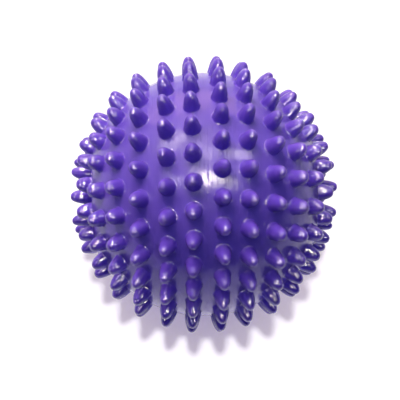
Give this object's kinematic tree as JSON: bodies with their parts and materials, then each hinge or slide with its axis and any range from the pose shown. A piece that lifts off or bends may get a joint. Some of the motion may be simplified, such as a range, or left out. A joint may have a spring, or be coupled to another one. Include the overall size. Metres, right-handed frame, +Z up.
{
  "type": "spiky massage ball",
  "caption": "Hollow soft vinyl massage ball with rings of blunt spikes on both halves, a seam round the middle, and a pull-out air stopper at one flattened pole.",
  "frame": {"origin": "centre of the ball", "axes": "+X through the poles towards the valve, +Z up, so that the seam stands upright in the YZ plane"},
  "size_m": [0.0842, 0.0896, 0.0896],
  "materials": {
    "skin": "glossy soft vinyl",
    "spikes": "glossy soft vinyl",
    "seam": "glossy soft vinyl",
    "valve": "satin soft rubber"
  },
  "bodies": {
    "ball": {"left_shell": "skin", "right_shell": "skin", "seam_weld": "seam", "left_spikes_1": "spikes", "left_spikes_2": "spikes", "left_spikes_3": "spikes", "left_spikes_4": "spikes", "left_spikes_5": "spikes", "left_spikes_6": "spikes", "left_spikes_7": "spikes", "right_spikes_1": "spikes", "right_spikes_2": "spikes", "right_spikes_3": "spikes", "right_spikes_4": "spikes", "right_spikes_5": "spikes", "right_spikes_6": "spikes", "right_spikes_7": "spikes", "valve_collar": "valve"},
    "stopper": {"valve_stopper": "valve"}
  },
  "joints": [
    {"name": "stopper_slide", "type": "slide", "parent": "ball", "child": "stopper", "axis": [1, 0, 0], "range_m": [0, 0.009]}
  ]
}
